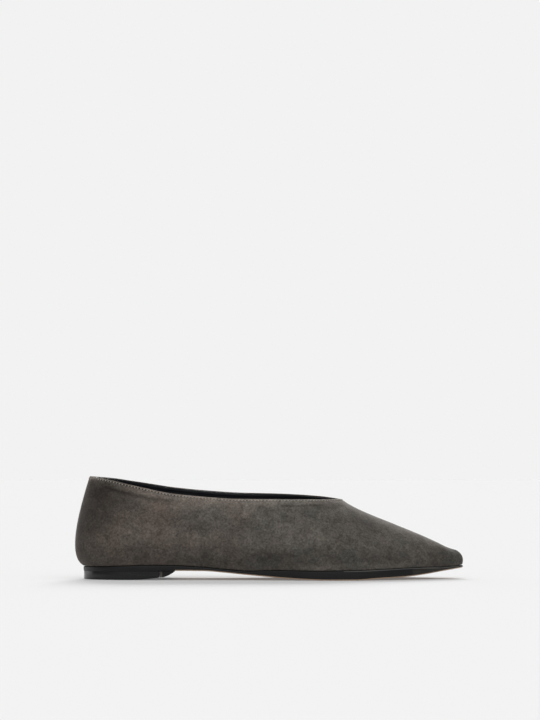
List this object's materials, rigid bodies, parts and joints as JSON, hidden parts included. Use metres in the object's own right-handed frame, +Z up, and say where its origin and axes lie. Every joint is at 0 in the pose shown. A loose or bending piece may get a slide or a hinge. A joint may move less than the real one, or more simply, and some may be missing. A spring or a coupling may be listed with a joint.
{
  "type": "ballet flat",
  "caption": "Pointed ballet flat for the right foot: whole-cut suede upper with an open collar, sock, thin dark sole with toe spring and a low glossy heel block.",
  "frame": {"origin": "middle of the shoe's length and width, on the floor that it stands on", "axes": "+X from heel to toe, +Y to the medial side of the right foot, +Z up"},
  "size_m": [0.262, 0.0792, 0.0691],
  "materials": {
    "suede_upper": "matt napped suede, dark taupe grey",
    "sock_leather": "smooth black lining leather, low sheen",
    "sole_edge": "dark painted sole edge, satin",
    "heel_gloss": "glossy black"
  },
  "bodies": {
    "root": {"upper": "suede_upper", "insole": "sock_leather", "outsole": "sole_edge", "heel_block": "heel_gloss"}
  },
  "joints": []
}
